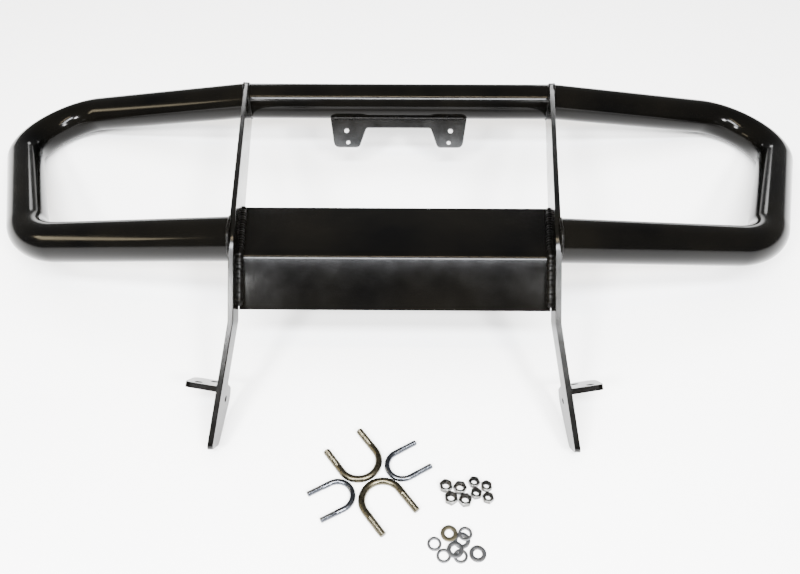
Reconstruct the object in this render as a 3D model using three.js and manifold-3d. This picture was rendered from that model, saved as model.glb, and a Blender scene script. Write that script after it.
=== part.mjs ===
// Front grille guard for a small utility vehicle: two bent tube wings and a top bar welded to a
// pair of upright side plates, with a bent centre plate, a light bracket and two mounting tabs.
// The guard lies on its back on a floor, with its loose U-bolts, nuts and washers beside it.
// Units are millimetres. The guard is designed upright, as it is fitted on the vehicle:
// +X across it, +Y rearwards and +Z up, with the origin on the lower bars' axis. It is then
// tipped back as one piece. Left and right are those of someone facing its front.
import * as THREE from 'three';
import { mergeVertices } from 'three/addons/utils/BufferGeometryUtils.js';
import Module from 'manifold-3d';

const wasm = await Module();
wasm.setup();

const rad = THREE.MathUtils.degToRad;

// Driving dimensions of the guard
const TUBE_R = 25.4;
const TUBE_WALL = 2.4;
const PLATE_T = 6.35;
const TOP_RISE = 223;
const TOP_SETBACK = 280;
const LOWER_HALF = 181;
const TOP_HALF = 227;
const SWEEP = rad(19.5);
const LOWER_SWEEP_X = 177;
const TOP_SWEEP_X = 231;
const TOP_CORNER_X = 630;
const LOWER_CORNER_X = 460;
const TOP_CORNER_R = 79;
const LOWER_CORNER_R = 97;
const GAP = 0.3;

// Side plates
const UPRIGHT_HALF_WIDTH = 26;
const FLARE_START = 0;
const LEG_FRONT_Y = -22;
const LEG_REAR_Y = 5;
const KINK_Z = -91;
const SPLAY = rad(9);
const LEG_END_Z = -232;
const LOBE_REAR_Y = 28;
const LOBE_TOP_Z = -165;
const LOBE_HOLE_R = 3.3;

// Tabs, centre plate and light bracket
const TAB_LENGTH = 37;
const TAB_FRONT_Y = -14;
const TAB_REAR_Y = 26;
const TAB_Z = -166;
const TAB_HOLE_R = 4.35;
const CENTRE_T = 4.8;
const CENTRE_BEND = { y: 5, z: -15 };
const CENTRE_RISE = 95;
const CENTRE_DROP = 64;
const BRACKET_T = 4.8;
const WELD_LEG = 5.5;

const LEAN = Math.atan2(TOP_SETBACK, TOP_RISE);
const FACE_LENGTH = Math.hypot(TOP_SETBACK, TOP_RISE);
const FLARE = (TOP_HALF - LOWER_HALF) / (FACE_LENGTH - FLARE_START);
const BIG = 900;

// ---------- solids: three.js geometry in and out of closed, cuttable bodies ----------

function toSolid(geometry) {
  const bare = geometry.index ? geometry.toNonIndexed() : geometry.clone();
  for (const name of Object.keys(bare.attributes)) {
    if (name !== 'position') bare.deleteAttribute(name);
  }
  const merged = mergeVertices(bare, 1e-4);
  return new wasm.Manifold(new wasm.Mesh({
    numProp: 3,
    vertProperties: new Float32Array(merged.attributes.position.array),
    triVerts: new Uint32Array(merged.index.array),
  }));
}

function toGeometry(solid) {
  const mesh = solid.getMesh();
  const geometry = new THREE.BufferGeometry();
  geometry.setAttribute('position', new THREE.BufferAttribute(new Float32Array(mesh.vertProperties), 3));
  geometry.setIndex(new THREE.BufferAttribute(new Uint32Array(mesh.triVerts), 1));
  return geometry;
}

function cut(geometry, ...tools) {
  return toGeometry(tools.reduce((body, tool) => body.subtract(toSolid(tool)), toSolid(geometry)));
}

function keep(geometry, region) {
  return toGeometry(toSolid(geometry).intersect(toSolid(region)));
}

function join(...geometries) {
  const [first, ...rest] = geometries.map(toSolid);
  return toGeometry(rest.reduce((body, other) => body.add(other), first));
}

function mirrored(geometry) {
  const copy = geometry.clone();
  copy.scale(-1, 1, 1);
  const index = copy.index.array;
  for (let i = 0; i < index.length; i += 3) {
    [index[i + 1], index[i + 2]] = [index[i + 2], index[i + 1]];
  }
  return copy;
}

function movePoints(geometry, move) {
  const moved = geometry.clone();
  const point = new THREE.Vector3();
  const positions = moved.attributes.position;
  for (let i = 0; i < positions.count; i += 1) {
    move(point.fromBufferAttribute(positions, i));
    positions.setXYZ(i, point.x, point.y, point.z);
  }
  return moved;
}

// ---------- the guard's leaning face: u runs up the face, n stands out of its front ----------

const alongFace = (y, z) => y * Math.sin(LEAN) + z * Math.cos(LEAN);
const facePoint = (u, n) => new THREE.Vector2(
  u * Math.sin(LEAN) - n * Math.cos(LEAN),
  u * Math.cos(LEAN) + n * Math.sin(LEAN),
);

// A box given by its limits in x, u and n.
function faceBox(x0, x1, u0, u1, n0, n1) {
  const box = new THREE.BoxGeometry(x1 - x0, n1 - n0, u1 - u0);
  box.translate((x0 + x1) / 2, -(n0 + n1) / 2, (u0 + u1) / 2);
  return box.applyMatrix4(new THREE.Matrix4().makeRotationX(-LEAN));
}

function plainBox(x0, x1, y0, y1, z0, z1) {
  const box = new THREE.BoxGeometry(x1 - x0, y1 - y0, z1 - z0);
  return box.translate((x0 + x1) / 2, (y0 + y1) / 2, (z0 + z1) / 2);
}

// The side plates are bent twice: they lean outwards above FLARE_START and splay out below KINK_Z.
const flareOut = (p) => { p.x += FLARE * (alongFace(p.y, p.z) - FLARE_START); };
const splayOut = (p) => { p.x += Math.tan(SPLAY) * (KINK_Z - p.z); };

// Everything further out than x on the right-hand side, following the plates' bends.
function outboardOf(x) {
  const above = movePoints(faceBox(x, BIG, FLARE_START, BIG, -BIG, BIG), flareOut);
  const below = movePoints(plainBox(x, BIG, -BIG, BIG, -BIG, KINK_Z), splayOut);
  const middle = keep(
    plainBox(x, BIG, -BIG, BIG, KINK_Z, BIG),
    faceBox(-BIG, BIG, -BIG, FLARE_START, -BIG, BIG),
  );
  return join(middle, above, below);
}

function inboardOf(x) {
  return cut(plainBox(-BIG, BIG, -BIG, BIG, -BIG, BIG), outboardOf(x));
}

// ---------- tubes ----------

// A route of straight runs with a round bend of the given radius at each inner point.
class BentRoute extends THREE.CurvePath {
  constructor(points, radii) {
    super();
    let start = points[0];
    for (let i = 1; i < points.length - 1; i += 1) {
      const corner = points[i];
      const back = points[i - 1].clone().sub(corner).normalize();
      const ahead = points[i + 1].clone().sub(corner).normalize();
      const half = back.angleTo(ahead) / 2;
      const setback = radii[i - 1] / Math.tan(half);
      const enter = corner.clone().addScaledVector(back, setback);
      const leave = corner.clone().addScaledVector(ahead, setback);
      this.add(new THREE.LineCurve3(start, enter));
      this.add(new RoundBend(corner, back, ahead, radii[i - 1]));
      start = leave;
    }
    this.add(new THREE.LineCurve3(start, points[points.length - 1]));
  }
}

class RoundBend extends THREE.Curve {
  constructor(corner, back, ahead, radius) {
    super();
    const half = back.angleTo(ahead) / 2;
    const inward = back.clone().add(ahead).normalize();
    this.centre = corner.clone().addScaledVector(inward, radius / Math.sin(half));
    this.from = corner.clone().addScaledVector(back, radius / Math.tan(half)).sub(this.centre);
    this.turn = Math.PI - 2 * half;
    this.axis = back.clone().negate().cross(ahead).normalize();
  }

  getPoint(t, target = new THREE.Vector3()) {
    return target.copy(this.from).applyAxisAngle(this.axis, this.turn * t).add(this.centre);
  }
}

function ring(outer, inner, sides) {
  const shape = new THREE.Shape(circlePoints(outer, sides));
  if (inner > 0) shape.holes.push(new THREE.Path(circlePoints(inner, Math.round(sides / 2) + 1)));
  return shape;
}

function circlePoints(radius, sides) {
  return Array.from({ length: sides }, (_, i) => {
    const angle = (2 * Math.PI * i) / sides;
    return new THREE.Vector2(radius * Math.cos(angle), radius * Math.sin(angle));
  });
}

function sweep(shape, route, steps) {
  return new THREE.ExtrudeGeometry(shape, { extrudePath: route, steps, bevelEnabled: false });
}

// A solid cylinder between two points, for cutting.
function rodBetween(a, b, radius, sides = 24) {
  return sweep(new THREE.Shape(circlePoints(radius, sides)), new THREE.LineCurve3(a, b), 1);
}

const sweptY = (x, fromX) => (x - fromX) * Math.tan(SWEEP);
const TOP_END = new THREE.Vector3(
  TOP_HALF, TOP_SETBACK + sweptY(TOP_HALF, TOP_SWEEP_X), TOP_RISE,
);
const LOWER_END = new THREE.Vector3(LOWER_HALF, sweptY(LOWER_HALF, LOWER_SWEEP_X), 0);
const TOP_CORNER = new THREE.Vector3(
  TOP_CORNER_X, TOP_SETBACK + sweptY(TOP_CORNER_X, TOP_SWEEP_X), TOP_RISE,
);
const LOWER_CORNER = new THREE.Vector3(LOWER_CORNER_X, sweptY(LOWER_CORNER_X, LOWER_SWEEP_X), 0);
// The wings' facets stand outside the true round, so the bends are nowhere thinner than the tube.
const WING_SIDES = 18;
const WING_R = TUBE_R / Math.cos(Math.PI / WING_SIDES);
const WING_OUT = new THREE.Vector3(Math.cos(SWEEP), Math.sin(SWEEP), 0);

function wing() {
  const tuckedIn = 30;
  const route = new BentRoute([
    TOP_END.clone().addScaledVector(WING_OUT, -tuckedIn),
    TOP_CORNER,
    LOWER_CORNER,
    LOWER_END.clone().addScaledVector(WING_OUT, -tuckedIn),
  ], [TOP_CORNER_R, LOWER_CORNER_R]);
  const tube = sweep(ring(WING_R, TUBE_R - TUBE_WALL, WING_SIDES), route, 56);
  return cut(tube, inboardOf(LOWER_HALF + GAP));
}

function topBar() {
  const end = TOP_HALF + 10;
  const route = new THREE.LineCurve3(
    new THREE.Vector3(-end, TOP_SETBACK, TOP_RISE),
    new THREE.Vector3(end, TOP_SETBACK, TOP_RISE),
  );
  const outside = outboardOf(LOWER_HALF - PLATE_T - GAP);
  return cut(sweep(ring(TUBE_R, TUBE_R - TUBE_WALL, 24), route, 1), outside, mirrored(outside));
}

// ---------- plates ----------

// Rounds the corners of an outline: each entry is a point's two coordinates and its corner radius.
function roundedOutline(corners) {
  const shape = new THREE.Shape();
  corners.forEach(([x, y, radius = 0], i) => {
    const here = new THREE.Vector2(x, y);
    const before = new THREE.Vector2(...corners.at(i - 1));
    const after = new THREE.Vector2(...corners[(i + 1) % corners.length]);
    const toBefore = before.sub(here).normalize();
    const toAfter = after.sub(here).normalize();
    const half = Math.acos(THREE.MathUtils.clamp(toBefore.dot(toAfter), -1, 1)) / 2;
    const setback = radius / Math.tan(half);
    const enter = here.clone().addScaledVector(toBefore, setback);
    const leave = here.clone().addScaledVector(toAfter, setback);
    if (i === 0) shape.moveTo(enter.x, enter.y);
    else shape.lineTo(enter.x, enter.y);
    if (radius > 0) shape.quadraticCurveTo(here.x, here.y, leave.x, leave.y);
  });
  shape.closePath();
  return shape;
}

// Extrudes an outline drawn in (y, z) across X, from x0 to x1.
function extrudeAcross(shape, x0, x1, curveSegments) {
  const body = new THREE.ExtrudeGeometry(shape, { depth: x1 - x0, bevelEnabled: false, curveSegments });
  body.applyMatrix4(new THREE.Matrix4().makeBasis(
    new THREE.Vector3(0, 1, 0), new THREE.Vector3(0, 0, 1), new THREE.Vector3(1, 0, 0),
  ));
  return body.translate(x0, 0, 0);
}

function sidePlateOutline() {
  const topFront = facePoint(FACE_LENGTH + UPRIGHT_HALF_WIDTH, UPRIGHT_HALF_WIDTH);
  const topRear = facePoint(FACE_LENGTH + UPRIGHT_HALF_WIDTH, -UPRIGHT_HALF_WIDTH);
  const frontElbowZ = (UPRIGHT_HALF_WIDTH + LEG_FRONT_Y * Math.cos(LEAN)) / Math.sin(LEAN);
  const rearElbowZ = (-UPRIGHT_HALF_WIDTH + LEG_REAR_Y * Math.cos(LEAN)) / Math.sin(LEAN);
  return roundedOutline([
    [LEG_FRONT_Y, LEG_END_Z, 9],
    [LEG_REAR_Y + 5, LEG_END_Z, 9],
    [LOBE_REAR_Y, LOBE_TOP_Z - 16, 16],
    [LOBE_REAR_Y - 5, LOBE_TOP_Z - 3, 7],
    [LEG_REAR_Y, LOBE_TOP_Z + 3, 5],
    [LEG_REAR_Y, rearElbowZ, 24],
    [topRear.x, topRear.y, UPRIGHT_HALF_WIDTH - 0.5],
    [topFront.x, topFront.y, UPRIGHT_HALF_WIDTH - 0.5],
    [LEG_FRONT_Y, frontElbowZ, 60],
  ]);
}

function sidePlate() {
  const flat = extrudeAcross(sidePlateOutline(), LOWER_HALF - PLATE_T, LOWER_HALF, 8);
  const hole = rodBetween(
    new THREE.Vector3(LOWER_HALF - 20, LEG_REAR_Y, LOBE_TOP_Z - 14),
    new THREE.Vector3(LOWER_HALF + 20, LEG_REAR_Y, LOBE_TOP_Z - 14),
    LOBE_HOLE_R, 14,
  );
  const drilled = cut(flat, hole);
  const upright = keep(drilled, faceBox(0, BIG, FLARE_START, BIG, -BIG, BIG));
  const leg = keep(drilled, plainBox(0, BIG, -BIG, BIG, -BIG, KINK_Z));
  const middle = cut(
    drilled,
    faceBox(0, BIG, FLARE_START, BIG, -BIG, BIG),
    plainBox(0, BIG, -BIG, BIG, -BIG, KINK_Z),
  );
  return join(middle, movePoints(upright, flareOut), movePoints(leg, splayOut));
}

// The tab stands square off the splayed leg, so its outer end tips up.
const legFaceX = (z) => LOWER_HALF + Math.tan(SPLAY) * (KINK_Z - z);

function placeOnLeg(geometry) {
  return geometry.rotateY(-SPLAY).translate(legFaceX(TAB_Z), 0, TAB_Z);
}

function tab() {
  const shape = roundedOutline([
    [0, TAB_FRONT_Y, 0], [TAB_LENGTH, TAB_FRONT_Y, 6], [TAB_LENGTH, TAB_REAR_Y, 9], [0, TAB_REAR_Y, 0],
  ]);
  for (const [x, y] of [[24, TAB_FRONT_Y + 9], [11, TAB_FRONT_Y + 28]]) {
    const hole = circlePoints(TAB_HOLE_R, 14).map((p) => p.add(new THREE.Vector2(x, y)));
    shape.holes.push(new THREE.Path(hole));
  }
  const body = new THREE.ExtrudeGeometry(shape, { depth: PLATE_T, bevelEnabled: false, curveSegments: 3 });
  return placeOnLeg(body.translate(GAP / Math.cos(SPLAY), 0, -PLATE_T / 2));
}

// Front surface of the bent centre plate, from its lower edge to its top edge.
const CENTRE_LOW = new THREE.Vector2(CENTRE_BEND.y, CENTRE_BEND.z - CENTRE_DROP);
const CENTRE_MID = new THREE.Vector2(CENTRE_BEND.y, CENTRE_BEND.z);
const CENTRE_TOP = CENTRE_MID.clone().add(facePoint(CENTRE_RISE, 0));

// Outline of the centre plate in (y, z), grown outwards by a clearance and to a given depth.
function centreOutline(grow = 0, thick = CENTRE_T) {
  const at = (distance, depth) => CENTRE_MID.clone().add(facePoint(distance, -depth));
  const elbow = (depth) => [CENTRE_MID.x + depth, CENTRE_MID.y - depth * Math.tan(LEAN / 2)];
  const topRear = at(CENTRE_RISE + grow, thick + grow);
  const topFront = at(CENTRE_RISE + grow, -grow);
  return roundedOutline([
    [CENTRE_LOW.x - grow, CENTRE_LOW.y - grow, 1],
    [CENTRE_LOW.x + thick + grow, CENTRE_LOW.y - grow, 1],
    [...elbow(thick + grow), 8],
    [topRear.x, topRear.y, 2],
    [topFront.x, topFront.y, 2],
    [...elbow(-grow), 14],
  ]);
}

function centrePlate() {
  const shape = centreOutline();
  const end = TOP_HALF;
  const outside = outboardOf(LOWER_HALF - PLATE_T - GAP);
  return cut(extrudeAcross(shape, -end, end, 5), outside, mirrored(outside));
}

// The bracket hangs under the middle of the top bar: two tapered ears with two holes each.
function lightBracket() {
  const topHalf = 101;
  const earFoot = { outer: 94.7, inner: 57.9, drop: 42.8 };
  const notch = { half: 47.8, drop: 13.8 };
  const right = [
    [topHalf, 0, 0], [notch.half, -notch.drop, 4], [earFoot.inner, -earFoot.drop, 7],
    [earFoot.outer, -earFoot.drop, 8],
  ];
  const shape = roundedOutline([
    right[0], [-topHalf, 0, 0], [-earFoot.outer, -earFoot.drop, 8], [-earFoot.inner, -earFoot.drop, 7],
    [-notch.half, -notch.drop, 4], right[1], right[2], right[3],
  ]);
  for (const side of [-1, 1]) {
    for (const [across, drop, radius] of [[77, 18.3, 3.6], [74.5, 35.8, 3]]) {
      const hole = circlePoints(radius, 14).map((p) => p.add(new THREE.Vector2(side * across, -drop)));
      shape.holes.push(new THREE.Path(hole));
    }
  }
  const sheet = { depth: BRACKET_T, bevelEnabled: false, curveSegments: 3 };
  const body = new THREE.ExtrudeGeometry(shape, sheet);
  return body.translate(0, 0, -BRACKET_T / 2).rotateX(Math.PI / 2)
    .translate(0, TOP_SETBACK, TOP_RISE - TUBE_R - GAP);
}

// ---------- welds ----------

// A fillet ring round a tube where it meets a plate. The ring lies in the plate's face.
function weldRing(centre, tubeAxis, faceNormal, keepOut) {
  const reach = TUBE_R + WELD_LEG * 0.2;
  const torus = new THREE.TorusGeometry(reach, WELD_LEG * 0.8, 6, 22);
  torus.rotateZ(Math.PI / 22);
  const across = faceNormal.clone().cross(tubeAxis).normalize();
  const along = across.clone().cross(faceNormal).normalize();
  const stretch = 1 / Math.abs(faceNormal.dot(tubeAxis));
  torus.scale(stretch, 1, 1);
  torus.applyMatrix4(new THREE.Matrix4().makeBasis(along, across, faceNormal).setPosition(centre));
  const tube = rodBetween(
    centre.clone().addScaledVector(tubeAxis, -80),
    centre.clone().addScaledVector(tubeAxis, 80),
    WING_R + GAP + 0.25, 24,
  );
  return cut(torus, tube, keepOut);
}

const FLARED_NORMAL = new THREE.Vector3(1, -FLARE * Math.sin(LEAN), -FLARE * Math.cos(LEAN)).normalize();
const ACROSS = new THREE.Vector3(1, 0, 0);

function wingTopWeld() {
  return weldRing(TOP_END, WING_OUT, FLARED_NORMAL, inboardOf(LOWER_HALF + GAP));
}

function wingLowerWeld() {
  return weldRing(LOWER_END, WING_OUT, ACROSS, inboardOf(LOWER_HALF + GAP));
}

function topBarWeld() {
  const centre = new THREE.Vector3(TOP_HALF - PLATE_T, TOP_SETBACK, TOP_RISE);
  return weldRing(centre, ACROSS, FLARED_NORMAL, outboardOf(LOWER_HALF - PLATE_T - GAP));
}

// A fillet bead along one end of the centre plate, on its front, following the plate's bend.
function centrePlateWeld() {
  const inner = (u) => LOWER_HALF - PLATE_T + FLARE * Math.max(0, u - FLARE_START);
  const points = [
    new THREE.Vector2(CENTRE_LOW.x, CENTRE_LOW.y + 4),
    CENTRE_MID,
    CENTRE_MID.clone().add(facePoint(CENTRE_RISE - 2, 0)),
  ].map((p) => new THREE.Vector3(inner(alongFace(p.x, p.y)), p.x, p.y));
  const route = new BentRoute(points, [14]);
  const bead = sweep(new THREE.Shape(circlePoints(WELD_LEG * 0.85, 12)), route, 16);
  const plate = extrudeAcross(centreOutline(GAP, CENTRE_T + 12), -BIG, BIG, 5);
  return cut(bead, plate, outboardOf(LOWER_HALF - PLATE_T - GAP));
}

// A bead along the bracket's front where it meets the top bar.
function bracketWeld() {
  const joint = new THREE.Vector3(0, TOP_SETBACK - BRACKET_T / 2, TOP_RISE - TUBE_R);
  const route = new THREE.LineCurve3(
    joint.clone().setX(-100.5), joint.clone().setX(100.5),
  );
  const bead = sweep(new THREE.Shape(circlePoints(4.2, 10)), route, 1);
  const tube = rodBetween(
    new THREE.Vector3(-BIG, TOP_SETBACK, TOP_RISE),
    new THREE.Vector3(BIG, TOP_SETBACK, TOP_RISE),
    TUBE_R + GAP, 24,
  );
  const sheet = plainBox(
    -BIG, BIG, joint.y - GAP, joint.y + 30, TOP_RISE - 60, TOP_RISE,
  );
  return cut(bead, tube, sheet);
}

// A fillet bead along the top of the tab's root, where the tab meets the leg.
function tabWeld() {
  const y0 = TAB_FRONT_Y;
  const top = PLATE_T / 2 + GAP;
  const route = new THREE.LineCurve3(
    new THREE.Vector3(0, y0 + 1, top), new THREE.Vector3(0, TAB_REAR_Y - 1, top),
  );
  const bead = sweep(new THREE.Shape(circlePoints(4.5, 10)), route, 1);
  const tabSlab = plainBox(-20, 60, -BIG, BIG, -BIG, top);
  const legSide = plainBox(-20, GAP, -BIG, BIG, -BIG, BIG);
  return placeOnLeg(cut(bead, tabSlab, legSide));
}

// ---------- loose kit: each piece is drawn on the floor at the origin ----------

const LARGE = { rod: 3.97, half: 22, length: 53.8, nutFlats: 12.7, nutHigh: 6.8 };
const SMALL = { rod: 3.18, half: 16.8, length: 43.6, nutFlats: 11.1, nutHigh: 5.6 };
const WIDE_WASHER = { outer: 8.75, bore: 4.35, thick: 1.6 };
const NARROW_WASHER = { outer: 7.4, bore: 4.7, thick: 2.0 };

// A U-bolt with its crown towards -X and the ends of its legs either side of the origin.
function uBolt({ rod, half, length }) {
  const legs = length - half;
  const route = new THREE.CurvePath();
  const crown = new RoundBend(
    new THREE.Vector3(-legs - half, half, 0),
    new THREE.Vector3(1, 0, 0), new THREE.Vector3(0, -1, 0), half,
  );
  const crownBack = new RoundBend(
    new THREE.Vector3(-legs - half, -half, 0),
    new THREE.Vector3(0, 1, 0), new THREE.Vector3(1, 0, 0), half,
  );
  route.add(new THREE.LineCurve3(new THREE.Vector3(0, half, 0), new THREE.Vector3(-legs, half, 0)));
  route.add(crown);
  route.add(crownBack);
  route.add(new THREE.LineCurve3(new THREE.Vector3(-legs, -half, 0), new THREE.Vector3(0, -half, 0)));
  return sweep(new THREE.Shape(circlePoints(rod, 12)), route, 24);
}

// A hexagon nut with chamfered ends and a plain bore.
function nut({ rod, nutFlats, nutHigh }) {
  const corner = nutFlats / 2 / Math.cos(Math.PI / 6);
  const hexagon = new THREE.Shape(circlePoints(corner, 6));
  hexagon.holes.push(new THREE.Path(circlePoints(rod * 0.93, 14)));
  const prism = new THREE.ExtrudeGeometry(hexagon, { depth: nutHigh, bevelEnabled: false });
  const rim = nutFlats * 0.48;
  const drop = (corner - rim) * 0.6;
  const envelope = new THREE.LatheGeometry([
    new THREE.Vector2(0, 0), new THREE.Vector2(rim, 0), new THREE.Vector2(corner + 0.1, drop),
    new THREE.Vector2(corner + 0.1, nutHigh - drop), new THREE.Vector2(rim, nutHigh),
    new THREE.Vector2(0, nutHigh),
  ], 24);
  return keep(prism, envelope.rotateX(Math.PI / 2));
}

function washer({ outer, bore, thick }) {
  const shape = new THREE.Shape(circlePoints(outer, 24));
  shape.holes.push(new THREE.Path(circlePoints(bore, 16)));
  return new THREE.ExtrudeGeometry(shape, { depth: thick, bevelEnabled: false });
}

// ---------- assembly ----------

const TIP_BACK = rad(47.73);
const group = new THREE.Group();
const finishes = {
  coat: { color: 0x0b0b0c, metalness: 0.1, roughness: 0.22 },
  zinc: { color: 0x8f959c, metalness: 0.9, roughness: 0.35 },
  yellowZinc: { color: 0x8a8468, metalness: 0.9, roughness: 0.35 },
};
const guardMeshes = [];

function addMesh(name, geometry, finish) {
  const bare = geometry.index ? geometry.toNonIndexed() : geometry;
  bare.computeVertexNormals();
  const mesh = new THREE.Mesh(bare, new THREE.MeshStandardMaterial(finishes[finish]));
  mesh.name = name;
  group.add(mesh);
  return mesh;
}

function addGuard(name, geometry) {
  const tipped = geometry.clone();
  tipped.rotateX(-TIP_BACK);
  guardMeshes.push(addMesh(name, tipped, 'coat'));
}

function addPair(name, build) {
  const right = build();
  const indexed = right.index ? right : mergeVertices(right, 1e-4);
  addGuard(`right_${name}`, indexed);
  addGuard(`left_${name}`, mirrored(indexed));
}

addGuard('top_bar', topBar());
addGuard('centre_plate', centrePlate());
addGuard('light_bracket', lightBracket());
addGuard('bracket_weld', bracketWeld());
addPair('loop', wing);
addPair('side_plate', sidePlate);
addPair('tab', tab);
addPair('loop_upper_weld', wingTopWeld);
addPair('loop_lower_weld', wingLowerWeld);
addPair('top_bar_weld', topBarWeld);
addPair('centre_plate_weld', centrePlateWeld);
addPair('tab_weld', tabWeld);

// The guard comes down until its lowest point is on the floor.
const guardBox = new THREE.Box3();
for (const mesh of guardMeshes) guardBox.expandByObject(mesh, true);
for (const mesh of guardMeshes) mesh.geometry.translate(0, 0, -guardBox.min.z);

// A piece of kit turned by so many degrees and set down at (x, y), with what it rests on below.
function addKit(name, geometry, finish, [x, y, degrees = 0, height = 0]) {
  const piece = geometry.clone().rotateZ(rad(degrees));
  piece.computeBoundingBox();
  piece.translate(x, y, height - piece.boundingBox.min.z);
  addMesh(name, piece, finish);
}

addKit('large_u_bolt_1', uBolt(LARGE), 'yellowZinc', [-57.3, -161.3, 127]);
addKit('large_u_bolt_2', uBolt(LARGE), 'yellowZinc', [8.4, -258.0, -52.5]);
addKit('small_u_bolt_1', uBolt(SMALL), 'zinc', [33, -176.9, 31]);
addKit('small_u_bolt_2', uBolt(SMALL), 'zinc', [-83, -241.2, 209]);

const largeNuts = [[56.7, -215.7, 10], [71.9, -217.7, 25], [61.9, -229.7, 5], [76.8, -231.7, 40]];
largeNuts.forEach((place, i) => addKit(`large_nut_${i + 1}`, nut(LARGE), 'zinc', place));
const smallNuts = [[87.4, -210.7, 20], [100.3, -215.3, 0], [88.9, -223.7, 45], [101.2, -228.7, 12]];
smallNuts.forEach((place, i) => addKit(`small_nut_${i + 1}`, nut(SMALL), 'zinc', place));

// Five washers lie on the floor and three rest on top of those.
const onWide = WIDE_WASHER.thick + GAP;
const onNarrow = NARROW_WASHER.thick + GAP;
const narrowWashers = [[43.2, -278.8], [52.3, -291.2], [69.4, -291.4], [75, -268.6, 0, onWide]];
const wideWashers = [
  [71.3, -274.9], [86.9, -288.7], [58.4, -268.3, 0, onWide], [64.1, -285.6, 0, onNarrow],
];
narrowWashers.forEach((place, i) => {
  addKit(`narrow_washer_${i + 1}`, washer(NARROW_WASHER), 'zinc', place);
});
wideWashers.forEach((place, i) => {
  addKit(`wide_washer_${i + 1}`, washer(WIDE_WASHER), 'zinc', place);
});

// The origin is the middle of the underside of everything.
const box = new THREE.Box3().setFromObject(group, true);
const shift = [-(box.min.x + box.max.x) / 2, -(box.min.y + box.max.y) / 2, -box.min.z];
for (const mesh of group.children) mesh.geometry.translate(...shift);

export default group;
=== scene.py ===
"""Front grille guard on its back on a pale floor, with its loose hardware beside it."""

import math

import bmesh
import bpy
from mathutils import Matrix, Vector


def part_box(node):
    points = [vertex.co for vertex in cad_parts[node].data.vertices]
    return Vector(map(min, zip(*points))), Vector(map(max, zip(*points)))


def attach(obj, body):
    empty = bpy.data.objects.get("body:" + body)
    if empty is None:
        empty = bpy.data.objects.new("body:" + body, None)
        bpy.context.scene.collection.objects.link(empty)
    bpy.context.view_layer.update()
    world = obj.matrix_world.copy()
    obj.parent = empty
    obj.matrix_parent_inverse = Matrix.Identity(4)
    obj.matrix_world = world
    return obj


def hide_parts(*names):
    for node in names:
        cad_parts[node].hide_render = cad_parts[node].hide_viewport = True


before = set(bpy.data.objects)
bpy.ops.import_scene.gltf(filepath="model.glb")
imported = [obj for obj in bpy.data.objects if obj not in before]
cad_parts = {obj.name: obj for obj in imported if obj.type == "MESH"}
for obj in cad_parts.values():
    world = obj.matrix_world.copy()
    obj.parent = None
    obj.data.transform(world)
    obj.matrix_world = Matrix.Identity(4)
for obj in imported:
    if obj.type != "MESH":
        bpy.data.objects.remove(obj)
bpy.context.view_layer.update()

MM = 0.001

# Dimensions of the guard, in millimetres, as it is fitted upright on the vehicle. X is across it,
# Y is back into the vehicle and Z is up. The origin is midway between the points where the two
# lower tubes start to sweep back.

# Tubes: their radius, the top bar's place, and the outer faces of the side plates that they meet
TUBE_R = 25.1
TOP_RISE, TOP_SETBACK = 223, 280
LOWER_HALF, TOP_HALF = 181, 227

# Loops: how far they sweep back, where that starts, and the corners between their straight runs
SWEEP, LOWER_SWEEP_X, TOP_SWEEP_X = math.radians(19.5), 177, 231
TOP_CORNER_X, TOP_CORNER_R = 630, 79
LOWER_CORNER_X, LOWER_CORNER_R = 460, 97
LOOP_END_OVERRUN = 5

# Plates: their thickness, the gap that touching pieces keep, and the splayed legs with their tabs
PLATE_T, GAP = 6.35, 0.3
KINK_Z, SPLAY, TAB_Z = -91, math.radians(9), -166
TAB_SEAM_Y, TAB_SEAM_RISE = (-11, 24), 3.2
CENTRE_BEND, CENTRE_BEND_R, CENTRE_RISE, CENTRE_DROP = (5, -15), 14, 95, 64
BRACKET_SEAM_HALF = 99

# Weld beads: radius, and pitch of the puddles
TUBE_BEAD, CENTRE_BEAD, TAB_BEAD, BRACKET_BEAD = (1.8, 3.4), (4.6, 5.2), (3.0, 4.0), (2.6, 4.2)

# Hardware: rod radius and thread pitch in each of the two sizes
LARGE_ROD, LARGE_PITCH = 3.97, 1.41
SMALL_ROD, SMALL_PITCH = 3.18, 1.27

# The guard lies on its back, tipped this far from upright
TIP_BACK = math.radians(47.73)

LEAN = math.atan2(TOP_SETBACK, TOP_RISE)
FLARE = (TOP_HALF - LOWER_HALF) / math.hypot(TOP_SETBACK, TOP_RISE)


# ---------- where things are ----------

tip = Matrix.Rotation(-TIP_BACK, 4, "X")
bar_low, bar_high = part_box("top_bar")
offset = (bar_low + bar_high) / 2 - (tip @ Vector((0, TOP_SETBACK, TOP_RISE))) * MM
to_world = Matrix.Translation(offset) @ tip @ Matrix.Scale(MM, 4)


def on_floor(x, y, height=0):
    """A point given on the floor in millimetres, as a place in the frame."""
    return Vector((x * MM, y * MM + offset.y, height * MM))


def along_face(p):
    """How far up the sloping face p is, from the level of the lower tubes."""
    return p.y * math.sin(LEAN) + p.z * math.cos(LEAN)


def plate_x(p, thickness=0):
    """How far out a side plate's outer face is at the height of p."""
    return LOWER_HALF - thickness + FLARE * max(0, along_face(p))


# ---------- meshes ----------


def finish_mesh(name, mesh, material, body, replaced, sharp=35):
    """A smooth-shaded piece on its body, with edges over the sharp angle in degrees kept hard."""
    for polygon in mesh.polygons:
        polygon.use_smooth = True
    mesh.set_sharp_from_angle(angle=math.radians(sharp))
    mesh.materials.clear()
    mesh.materials.append(material)
    piece = bpy.data.objects.new(name, mesh)
    bpy.context.collection.objects.link(piece)
    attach(piece, body)
    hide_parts(*replaced)
    return piece


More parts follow.
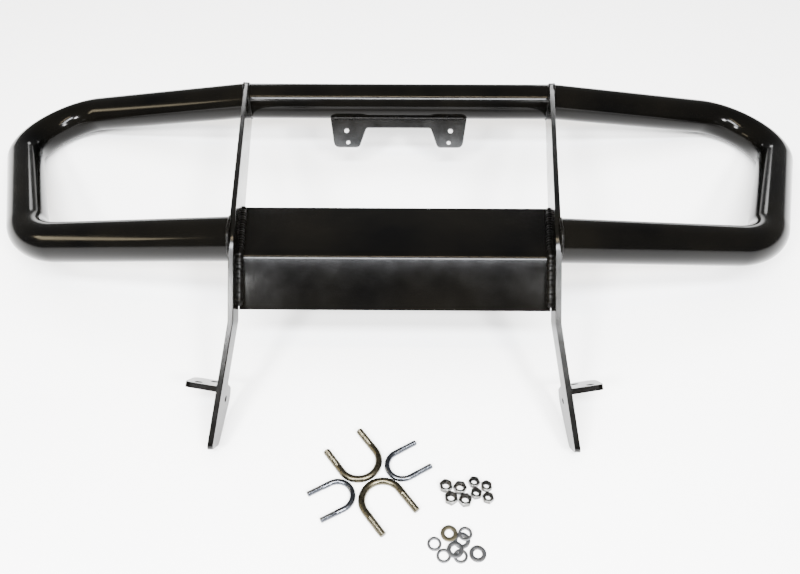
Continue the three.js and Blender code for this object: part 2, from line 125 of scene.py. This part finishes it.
def skin(rings, capped=True, closed=False):
    """A mesh over rings of points, with flat ends or joined end to end."""
    mesh = bpy.data.meshes.new("skin")
    sides, count = len(rings[0]), len(rings)
    faces = []
    for i in range(count if closed else count - 1):
        a, b = i * sides, ((i + 1) % count) * sides
        for j in range(sides):
            k = (j + 1) % sides
            faces.append((a + j, a + k, b + k, b + j))
    if capped and not closed:
        faces.append(tuple(range(sides))[::-1])
        faces.append(tuple((count - 1) * sides + j for j in range(sides)))
    mesh.from_pydata([tuple(p) for ring in rings for p in ring], [], faces)
    mesh.update()
    work = bmesh.new()
    work.from_mesh(mesh)
    bmesh.ops.recalc_face_normals(work, faces=work.faces)
    work.to_mesh(mesh)
    work.free()
    return mesh


def bent_route(points, radii, arc_step=math.radians(3)):
    """Points along straight runs joined by round bends."""
    path = [points[0]]
    for i, radius in enumerate(radii, start=1):
        corner = points[i]
        back = (points[i - 1] - corner).normalized()
        ahead = (points[i + 1] - corner).normalized()
        half = back.angle(ahead) / 2
        centre = corner + (back + ahead).normalized() * radius / math.sin(half)
        start = corner + back * radius / math.tan(half) - centre
        turn = math.pi - 2 * half
        axis = (-back).cross(ahead).normalized()
        steps = max(2, round(turn / arc_step))
        for k in range(steps + 1):
            path.append(centre + Matrix.Rotation(turn * k / steps, 3, axis) @ start)
    path.append(points[-1])
    return path


def sections(path, closed=False):
    """For each point of a path: the point, and two directions square to it that don't twist."""
    count = len(path)
    tangents = []
    for i in range(count):
        before = path[i - 1] if i or closed else path[0]
        after = path[(i + 1) % count] if i < count - 1 or closed else path[-1]
        tangents.append((after - before).normalized())
    side = tangents[0].orthogonal().normalized()
    result = []
    for point, tangent in zip(path, tangents):
        side = (side - tangent * side.dot(tangent)).normalized()
        result.append((point, side, tangent.cross(side)))
    return result


def circle(point, a, b, radius, sides):
    """A ring of points in the plane of a and b. The radius may be a function of the angle."""
    ring = []
    for j in range(sides):
        angle = 2 * math.pi * j / sides
        size = radius(angle) if callable(radius) else radius
        ring.append(point + (a * math.cos(angle) + b * math.sin(angle)) * size)
    return ring


def placed(mesh, matrix):
    mesh.transform(matrix)
    return mesh


def on_side(side, points):
    """Points given for the right side, mirrored when they are wanted on the left."""
    return [Vector((-p.x, p.y, p.z)) for p in points] if side == "left" else points


# ---------- materials ----------


def node_material(name):
    material = bpy.data.materials.new(name)
    material.use_nodes = True
    nodes, links = material.node_tree.nodes, material.node_tree.links
    shader = nodes["Principled BSDF"]
    coords = nodes.new("ShaderNodeTexCoord")

    def noise(scale, detail=3, roughness=0.5):
        node = nodes.new("ShaderNodeTexNoise")
        node.inputs["Scale"].default_value = scale
        node.inputs["Detail"].default_value = detail
        node.inputs["Roughness"].default_value = roughness
        links.new(coords.outputs["Object"], node.inputs["Vector"])
        return node.outputs["Fac"]

    def spread(value, low, high, start=0.3, end=0.7):
        node = nodes.new("ShaderNodeMapRange")
        node.inputs["From Min"].default_value = start
        node.inputs["From Max"].default_value = end
        node.inputs["To Min"].default_value = low
        node.inputs["To Max"].default_value = high
        links.new(value, node.inputs["Value"])
        return node.outputs["Result"]

    def blend(value, first, second):
        node = nodes.new("ShaderNodeMix")
        node.data_type = "RGBA"
        node.inputs[6].default_value = (*first, 1)
        node.inputs[7].default_value = (*second, 1)
        links.new(value, node.inputs[0])
        return node.outputs[2]

    def bump(value, strength, distance, under=None):
        node = nodes.new("ShaderNodeBump")
        node.inputs["Strength"].default_value = strength
        node.inputs["Distance"].default_value = distance
        links.new(value, node.inputs["Height"])
        if under is not None:
            links.new(under, node.inputs["Normal"])
        return node.outputs["Normal"]

    def facing_x():
        """How squarely the surface faces along X, from 0 on a cut edge to 1 on a flat face."""
        split = nodes.new("ShaderNodeSeparateXYZ")
        links.new(coords.outputs["Normal"], split.inputs["Vector"])
        size = nodes.new("ShaderNodeMath")
        size.operation = "ABSOLUTE"
        links.new(split.outputs["X"], size.inputs[0])
        return size.outputs["Value"]

    return material, shader, links, noise, spread, blend, bump, facing_x


def powder_coat(name, ripple, rough_low, rough_high, edge_gloss=0.0):
    """Gloss black powder coat: a fine orange peel over faint wide waves, with a patchy tone.

    On a plate lying across X, edge_gloss sets the specular level of the cut edges."""
    material, shader, links, noise, spread, blend, bump, facing_x = node_material(name)
    tint = blend(spread(noise(9, 4), 0, 1), (0.0006, 0.0006, 0.0006), (0.0018, 0.0016, 0.0012))
    links.new(tint, shader.inputs["Base Color"])
    links.new(spread(noise(35, 5, 0.6), rough_low, rough_high), shader.inputs["Roughness"])
    wide = bump(noise(28, 2), 0.03, 0.0008)
    peel = bump(noise(520, 2), 0.06 * ripple, 0.0003, wide)
    links.new(peel, shader.inputs["Normal"])
    shader.inputs["IOR"].default_value = 1.18
    if edge_gloss:
        gloss = spread(facing_x(), edge_gloss, 0.5, 0.45, 0.9)
        links.new(gloss, shader.inputs["Specular IOR Level"])
    return material


def plated_steel(name, light, dark, rough_low, rough_high, grain=1.0):
    """Zinc plate: patches of slightly different tone and polish over a fine rolled grain."""
    material, shader, links, noise, spread, blend, bump, _ = node_material(name)
    patches = spread(noise(90, 4, 0.5), 0, 1, 0.25, 0.75)
    links.new(blend(patches, dark, light), shader.inputs["Base Color"])
    links.new(spread(noise(420, 4), rough_low, rough_high), shader.inputs["Roughness"])
    links.new(bump(noise(1500, 3), 0.12 * grain, 0.0002), shader.inputs["Normal"])
    shader.inputs["Metallic"].default_value = 1
    return material


coat = powder_coat("black_powder_coat", 1.0, 0.1, 0.15)
plate_coat = powder_coat("black_coat_on_plate", 1.0, 0.12, 0.2, 1.0)
weld_coat = powder_coat("black_coat_on_weld", 2.0, 0.24, 0.38)
warm_zinc = plated_steel("warm_zinc", (0.075, 0.067, 0.046), (0.055, 0.049, 0.032), 0.24, 0.36)
blue_zinc = plated_steel("blue_zinc", (0.082, 0.088, 0.102), (0.056, 0.06, 0.071), 0.2, 0.32)
nut_zinc = plated_steel("nut_zinc", (0.085, 0.083, 0.078), (0.05, 0.049, 0.046), 0.22, 0.36)
washer_zinc = plated_steel(
    "washer_zinc", (0.105, 0.107, 0.113), (0.075, 0.077, 0.081), 0.34, 0.5, 1.6
)
warm_washer = plated_steel(
    "warm_washer_zinc", (0.10, 0.09, 0.062), (0.07, 0.063, 0.043), 0.34, 0.5, 1.6
)


# ---------- tubes ----------

wing_out = Vector((math.cos(SWEEP), math.sin(SWEEP), 0))
top_end = Vector((TOP_HALF, TOP_SETBACK + (TOP_HALF - TOP_SWEEP_X) * math.tan(SWEEP), TOP_RISE))
lower_end = Vector((LOWER_HALF, (LOWER_HALF - LOWER_SWEEP_X) * math.tan(SWEEP), 0))


def mitred(ring, axis, thickness=0, gap=GAP):
    """Slides a ring of points along an axis until each lies on the side plate's face."""
    result = []
    for p in ring:
        for _ in range(12):
            p = p + axis * ((plate_x(p, thickness) + gap - p.x) / axis.x)
        result.append(p)
    return result


def wing_rings(sides=56):
    """Rings of points along the right loop, from the top end round to the lower end."""
    corner_top = top_end + wing_out * (TOP_CORNER_X - TOP_HALF) / math.cos(SWEEP)
    corner_low = lower_end + wing_out * (LOWER_CORNER_X - LOWER_HALF) / math.cos(SWEEP)
    overrun = wing_out * LOOP_END_OVERRUN
    route = [top_end - overrun, corner_top, corner_low, lower_end - overrun]
    path = bent_route(route, [TOP_CORNER_R, LOWER_CORNER_R])
    rings = [circle(p, a, b, TUBE_R, sides) for p, a, b in sections(path)]
    rings[0] = mitred(rings[0], wing_out)
    rings[-1] = mitred(rings[-1], wing_out)
    return rings


for side in ("right", "left"):
    rings = [on_side(side, ring) for ring in wing_rings()]
    mesh = placed(skin(rings), to_world)
    finish_mesh(f"{side}_loop_tube", mesh, coat, "guard", [f"{side}_loop"])

across = Vector((1, 0, 0))
bar_middle = Vector((0, TOP_SETBACK, TOP_RISE))
bar_circle = circle(bar_middle, Vector((0, 1, 0)), Vector((0, 0, 1)), TUBE_R, 64)
bar_end = mitred(bar_circle, across, PLATE_T, -GAP)
mesh = placed(skin([on_side("left", bar_end), bar_end]), to_world)
finish_mesh("top_bar_tube", mesh, coat, "guard", ["top_bar"])


# ---------- plates, with their cut edges eased ----------


def eased_plate(node, width, segments=3, material=coat):
    """The plate with its flat faces made whole and its cut edges rounded over."""
    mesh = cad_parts[node].data.copy()
    work = bmesh.new()
    work.from_mesh(mesh)
    bmesh.ops.remove_doubles(work, verts=work.verts, dist=2e-6)
    bmesh.ops.dissolve_limit(
        work, angle_limit=math.radians(1.5), verts=work.verts, edges=work.edges
    )
    work.to_mesh(mesh)
    work.free()
    piece = finish_mesh(f"{node}_sheet", mesh, material, "guard", [node], sharp=30)
    bevel = piece.modifiers.new("eased edges", "BEVEL")
    bevel.width = width * MM
    bevel.segments = segments
    bevel.limit_method = "ANGLE"
    bevel.angle_limit = math.radians(40)
    bevel.harden_normals = True
    return piece


for side in ("left", "right"):
    eased_plate(f"{side}_side_plate", 1.3, 4, plate_coat)
    eased_plate(f"{side}_tab", 0.7)
eased_plate("centre_plate", 0.7)
eased_plate("light_bracket", 0.7)


# ---------- weld beads ----------


def ripple(path, closed, radius, pitch, depth=0.16, sides=14):
    """A bead laid in overlapping puddles along a path."""
    spacing = pitch / 6
    length = sum((b - a).length for a, b in zip(path, path[1:] + ([path[0]] if closed else [])))
    count = max(12, round(length / spacing))
    even = resample(path, count, closed)
    rings = []
    for i, (p, a, b) in enumerate(sections(even, closed)):
        phase = (i * length / count / pitch) % 1
        wobble = 1 + 0.07 * math.sin(i * 0.37) + 0.07 * math.sin(i * 0.131 + 1)
        size = radius * wobble * (1 - depth * phase ** 2)
        if not closed:
            ending = min(i, len(even) - 1 - i) / 6
            size *= math.sqrt(min(1, 0.25 + ending))
        rings.append(circle(p, a, b, size, sides))
    return skin(rings, closed=closed)


def resample(path, count, closed):
    """The same path, as evenly spaced points."""
    loop = path + [path[0]] if closed else path
    lengths = [(b - a).length for a, b in zip(loop, loop[1:])]
    total = sum(lengths)
    result, segment, done = [], 0, 0
    for i in range(count if closed else count + 1):
        want = min(total * i / count, total - 1e-9)
        while done + lengths[segment] < want:
            done += lengths[segment]
            segment += 1
        share = (want - done) / lengths[segment]
        result.append(loop[segment].lerp(loop[segment + 1], share))
    return result


def tube_seam(middle, axis, thickness=0, gap=0.0):
    """Round a tube's end where it meets a side plate."""
    a = axis.orthogonal().normalized()
    b = axis.cross(a)
    return mitred(circle(middle, a, b, TUBE_R - 0.2, 72), axis, thickness, gap)


def bead(name, node, path, closed, size):
    mesh = placed(ripple(path, closed, *size), to_world)
    finish_mesh(name, mesh, weld_coat, "guard", [node], sharp=80)


bend = Vector((0, *CENTRE_BEND))
face_up = Vector((0, math.sin(LEAN), math.cos(LEAN)))
plate_front = bent_route(
    [bend - Vector((0, 0, CENTRE_DROP - 4)), bend, bend + face_up * (CENTRE_RISE - 2)],
    [CENTRE_BEND_R],
)
plate_seam = [Vector((plate_x(p, PLATE_T) - 0.5, p.y, p.z)) for p in resample(plate_front, 60, False)]

leg_x = LOWER_HALF + math.tan(SPLAY) * (KINK_Z - TAB_Z)
tab_top = Vector((
    leg_x - TAB_SEAM_RISE * math.sin(SPLAY) + 0.4, 0, TAB_Z + TAB_SEAM_RISE * math.cos(SPLAY)
))
tab_seam = [tab_top + Vector((0, y, 0)) for y in TAB_SEAM_Y]
bar_joint = Vector((TOP_HALF - PLATE_T, TOP_SETBACK, TOP_RISE))

for side in ("left", "right"):
    bead(f"{side}_upper_loop_bead", f"{side}_loop_upper_weld",
         on_side(side, tube_seam(top_end, wing_out)), True, TUBE_BEAD)
    bead(f"{side}_lower_loop_bead", f"{side}_loop_lower_weld",
         on_side(side, tube_seam(lower_end, wing_out)), True, TUBE_BEAD)
    bead(f"{side}_top_bar_bead", f"{side}_top_bar_weld",
         on_side(side, tube_seam(bar_joint, across, PLATE_T)), True, TUBE_BEAD)
    bead(f"{side}_centre_plate_bead", f"{side}_centre_plate_weld",
         on_side(side, plate_seam), False, CENTRE_BEAD)
    bead(f"{side}_tab_bead", f"{side}_tab_weld", on_side(side, tab_seam), False, TAB_BEAD)

under_bar = Vector((0, TOP_SETBACK - 2.6, TOP_RISE - TUBE_R - 0.6))
bead("bracket_bead", "bracket_weld",
     [under_bar + across * x for x in (-BRACKET_SEAM_HALF, BRACKET_SEAM_HALF)], False, BRACKET_BEAD)


# ---------- loose hardware ----------


def zigzag(turns):
    """A thread's flank: 1 at the start of each turn, 0 halfway and 1 at its end."""
    return abs((turns % 1) * 2 - 1)


def threaded_u_bolt(rod, half, length, pitch, thread, sides=20):
    """A U-bolt lying flat, its crown towards -X, with a cut thread on the end of each leg."""
    legs = length - half
    crown = [Vector((-legs - half * math.sin(a), half * math.cos(a), 0))
             for a in [math.pi * k / 40 for k in range(41)]]
    steps = round(thread / pitch * 8)
    leg = [Vector((-thread * k / steps, half, 0)) for k in range(steps)]
    leg += [Vector((-thread - (legs - thread) * k / 4, half, 0)) for k in range(4)]
    path = leg + crown + [Vector((p.x, -p.y, 0)) for p in reversed(leg)]
    shank = rod * 0.985
    rings = []
    for p, a, b in sections(path):
        depth_in = -p.x

        def size(angle):
            if depth_in >= thread:
                return shank
            wave = zigzag(depth_in / pitch + angle / (2 * math.pi))
            return min(rod * (0.86 + 0.14 * wave), rod * 0.8 + depth_in)
        rings.append(circle(p, a, b, size, sides))
    return skin(rings)


def hexagon_reach(angle, flats):
    """How far a hexagon's side is from its middle, at an angle."""
    return flats / 2 / math.cos((angle % (math.pi / 3)) - math.pi / 6)


def threaded_nut(rod, flats, height, pitch, sides=72):
    """A hexagon nut lying flat, with chamfered corners and a threaded bore."""
    bore, rim, slope = rod * 0.9, flats * 0.475, math.tan(math.radians(28))
    steps = round(height / pitch * 6)
    profile = [("thread", k / steps) for k in range(steps + 1)]
    profile += [("mouth", 1), ("rim", 1), ("edge", 1), ("edge", 0), ("rim", 0), ("mouth", 0)]
    rings = []
    for kind, share in profile:
        ring = []
        for j in range(sides):
            angle = 2 * math.pi * j / sides
            reach = hexagon_reach(angle + math.pi / 6, flats)
            top = share == 1
            if kind == "thread":
                z = 0.6 + (height - 1.2) * share
                r = bore + 0.35 * zigzag(z / pitch + angle / (2 * math.pi))
            elif kind == "mouth":
                r, z = rod * 1.06, height if top else 0
            elif kind == "rim":
                r, z = rim, height if top else 0
            else:
                drop = max(0.05, (reach - rim) * slope)
                r, z = reach, height - drop if top else drop
            ring.append(Vector((r * math.cos(angle), r * math.sin(angle), z)))
        rings.append(ring)
    return skin(rings, closed=True)


def rounded_washer(outer, bore, thick, round_over, sides=64):
    """A flat ring whose stamped edges are rolled on one side and sharper on the other."""
    profile = []
    for r, z, direction in ((outer, 0, -1), (outer, thick, -1), (bore, thick, 1), (bore, 0, 1)):
        up = 1 if z == 0 else -1
        soft = round_over if z else round_over * 0.4
        corner = [
            (r + direction * soft, z),
            (r + direction * soft * 0.3, z + up * soft * 0.3),
            (r, z + up * soft),
        ]
        profile += corner if (z == 0) == (r == outer) else corner[::-1]
    rings = []
    for j in range(sides):
        angle = 2 * math.pi * j / sides
        rings.append([
            Vector((r * math.cos(angle), r * math.sin(angle), z)) for r, z in profile
        ])
    return skin(rings, closed=True)


def lay(name, node, mesh, material, slot, x, y, degrees=0.0, height=0.0, sharp=40):
    """Puts a piece of hardware on the floor, turned about the vertical."""
    spot = Matrix.Translation(on_floor(x, y, height)) @ Matrix.Rotation(math.radians(degrees), 4, "Z")
    placed(mesh, spot @ Matrix.Scale(MM, 4))
    finish_mesh(name, mesh, material, node, [node], sharp)


# Places on the floor: x, y, turn in degrees and, for the washers, height
u_bolts = {
    "large_u_bolt_1": (-57.3, -161.3, 127), "large_u_bolt_2": (8.4, -258, -52.5),
    "small_u_bolt_1": (33, -176.9, 31), "small_u_bolt_2": (-83, -241.2, 209),
}
for node, (x, y, degrees) in u_bolts.items():
    if node.startswith("large"):
        mesh = threaded_u_bolt(LARGE_ROD, 22, 53.8, LARGE_PITCH, 24)
        lay(f"{node}_threaded", node, mesh, warm_zinc, "yellow_zinc", x, y, degrees, LARGE_ROD, 50)
    else:
        mesh = threaded_u_bolt(SMALL_ROD, 16.8, 43.6, SMALL_PITCH, 18)
        lay(f"{node}_threaded", node, mesh, blue_zinc, "blue_zinc", x, y, degrees, SMALL_ROD, 50)

large_nuts = [(56.7, -215.7, 10), (71.9, -217.7, 25), (61.9, -229.7, 5), (76.8, -231.7, 40)]
small_nuts = [(87.4, -210.7, 20), (100.3, -215.3, 0), (88.9, -223.7, 45), (101.2, -228.7, 12)]
nut_sizes = {
    "large": (large_nuts, LARGE_ROD, 12.7, 6.8, LARGE_PITCH),
    "small": (small_nuts, SMALL_ROD, 11.1, 5.6, SMALL_PITCH),
}
for size, (places, *measures) in nut_sizes.items():
    for i, place in enumerate(places, start=1):
        mesh = threaded_nut(*measures)
        node = f"{size}_nut_{i}"
        lay(f"{node}_threaded", node, mesh, nut_zinc, "nut_zinc", *place, sharp=18)

narrow = [(43.2, -278.8, 0, 0), (52.3, -291.2, 0, 0), (69.4, -291.4, 0, 0), (75, -268.6, 0, 1.9)]
wide = [(71.3, -274.9, 0, 0), (86.9, -288.7, 0, 0), (58.4, -268.3, 0, 1.9), (64.1, -285.6, 0, 2.3)]
for i, place in enumerate(narrow, start=1):
    mesh = rounded_washer(7.38, 4.7, 2.0, 0.35)
    lay(f"narrow_washer_{i}_ring", f"narrow_washer_{i}", mesh, washer_zinc, "washer_zinc", *place)
for i, place in enumerate(wide, start=1):
    mesh = rounded_washer(8.72, 4.35, 1.6, 0.3)
    finish = warm_washer if i == 3 else washer_zinc
    lay(f"wide_washer_{i}_ring", f"wide_washer_{i}", mesh, finish, "washer_zinc", *place)


# ---------- floor, lights and camera ----------

bpy.ops.mesh.primitive_plane_add(size=30, location=(0, 4, 0))
floor = bpy.context.object
floor.name = "studio_floor"
material, shader, links, noise, spread, blend, *_ = node_material("pale_floor")
links.new(blend(spread(noise(3, 3), 0, 1), (0.90, 0.90, 0.90), (0.93, 0.93, 0.93)),
          shader.inputs["Base Color"])
shader.inputs["Roughness"].default_value = 0.85
floor.data.materials.append(material)

world = bpy.data.worlds.new("studio")
bpy.context.scene.world = world
world.use_nodes = True
world.node_tree.nodes["Background"].inputs["Color"].default_value = (1, 1, 1, 1)
world.node_tree.nodes["Background"].inputs["Strength"].default_value = 0.3


def softbox(name, place, aim, width, height, power, colour=(1, 1, 1)):
    light = bpy.data.lights.new(name, "AREA")
    light.shape = "RECTANGLE"
    light.size, light.size_y = width, height
    light.energy = power
    light.color = colour
    lamp = bpy.data.objects.new(name, light)
    bpy.context.collection.objects.link(lamp)
    lamp.location = place
    lamp.rotation_euler = (Vector(aim) - Vector(place)).to_track_quat("-Z", "Y").to_euler()
    return lamp


overhead = softbox("overhead_softbox", (0, 0.6, 3.6), (0, 0.2, 0), 4.4, 3.2, 350)
overhead.visible_glossy = False
softbox("front_panel", (0, -1.15, 1.96), (0, 0.33, 0), 1.5, 0.25, 200, (0.93, 0.96, 1))
softbox("warm_front_strip", (0, -0.70, 2.26), (0, 0.33, 0), 1.6, 0.07, 34, (1, 0.82, 0.55))
softbox("warm_left_strip", (-2.5, -0.36, 1.14), (-0.35, 0.2, 0), 1.2, 0.26, 26, (1, 0.86, 0.58))
for side, sign in (("left", -1), ("right", 1)):
    softbox(f"{side}_front_panel", (0.98 * sign, -1.66, 1.78), (0.2 * sign, 0, 0), 0.42, 0.36, 150)
    softbox(f"{side}_back_panel", (0.9 * sign, 3.2, 0.6), (0.22 * sign, 0.3, 0), 0.4, 0.34, 5)

LENS_MM = 33.75
CAMERA_YAW, CAMERA_ROLL = -0.0087, 0.0059
CAMERA_PLACE = (13.244, -833.93, -52.66)

camera_data = bpy.data.cameras.new("camera")
camera_data.sensor_width = 36
camera_data.lens = LENS_MM
camera = bpy.data.objects.new("camera", camera_data)
bpy.context.collection.objects.link(camera)
turn = (
    Matrix.Rotation(CAMERA_YAW, 3, "Z").transposed()
    @ Matrix.Rotation(CAMERA_ROLL, 3, "Y").transposed()
)
right, ahead, above = (tip.to_3x3() @ turn @ Vector(v) for v in ((1, 0, 0), (0, 1, 0), (0, 0, 1)))
place = to_world @ Vector(CAMERA_PLACE)
camera.matrix_world = Matrix.Translation(place) @ Matrix((right, above, -ahead)).transposed().to_4x4()
bpy.context.scene.camera = camera
